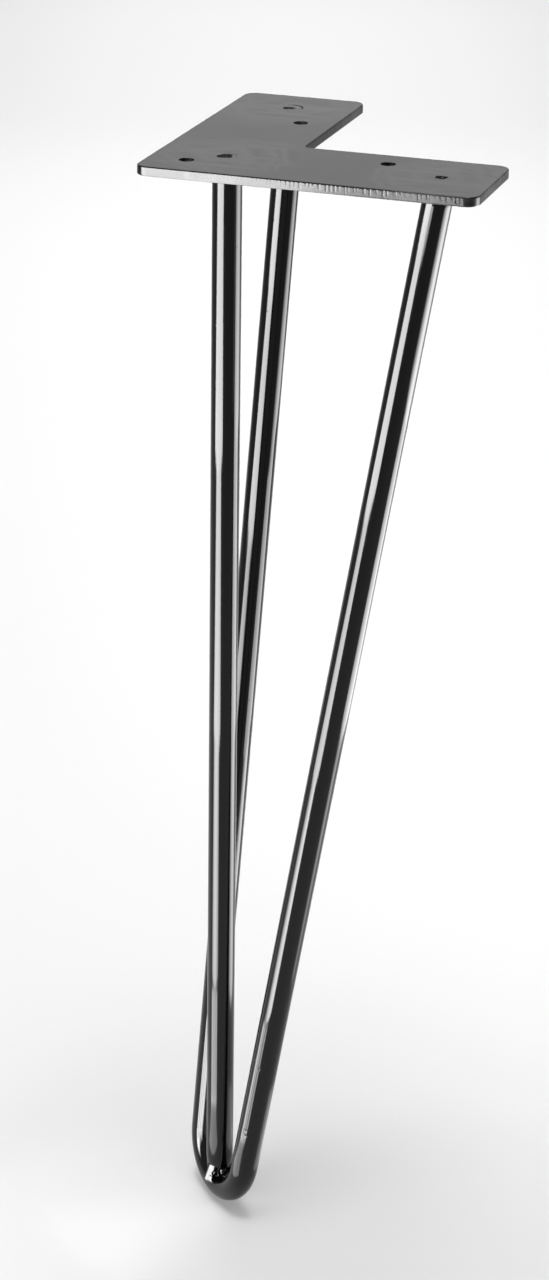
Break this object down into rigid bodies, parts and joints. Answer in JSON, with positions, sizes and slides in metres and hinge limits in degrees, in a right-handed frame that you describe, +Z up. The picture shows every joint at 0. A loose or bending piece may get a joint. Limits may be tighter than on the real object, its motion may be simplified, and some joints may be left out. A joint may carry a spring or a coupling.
{
  "type": "hairpin table leg",
  "caption": "Black welded steel hairpin leg: a flat L-shaped mounting plate on slim round rods that run down to one rounded foot. Screws to the underside of a table top.",
  "frame": {"origin": "on the mounting plate's top face, in the middle of the three screw holes", "axes": "+Z up, out of the top face towards the table top; +X along the right arm of the L and +Y along the rear arm, with the L's outer corner at -X -Y"},
  "size_m": [0.115, 0.115, 0.4],
  "materials": {
    "powder_coat": "smooth black powder coat, semi-gloss"
  },
  "bodies": {
    "root": {"mounting_plate": "powder_coat", "hairpin_rod": "powder_coat", "corner_rod": "powder_coat", "corner_plug_weld": "powder_coat", "right_plug_weld": "powder_coat", "rear_plug_weld": "powder_coat", "foot_weld": "powder_coat"}
  },
  "joints": []
}
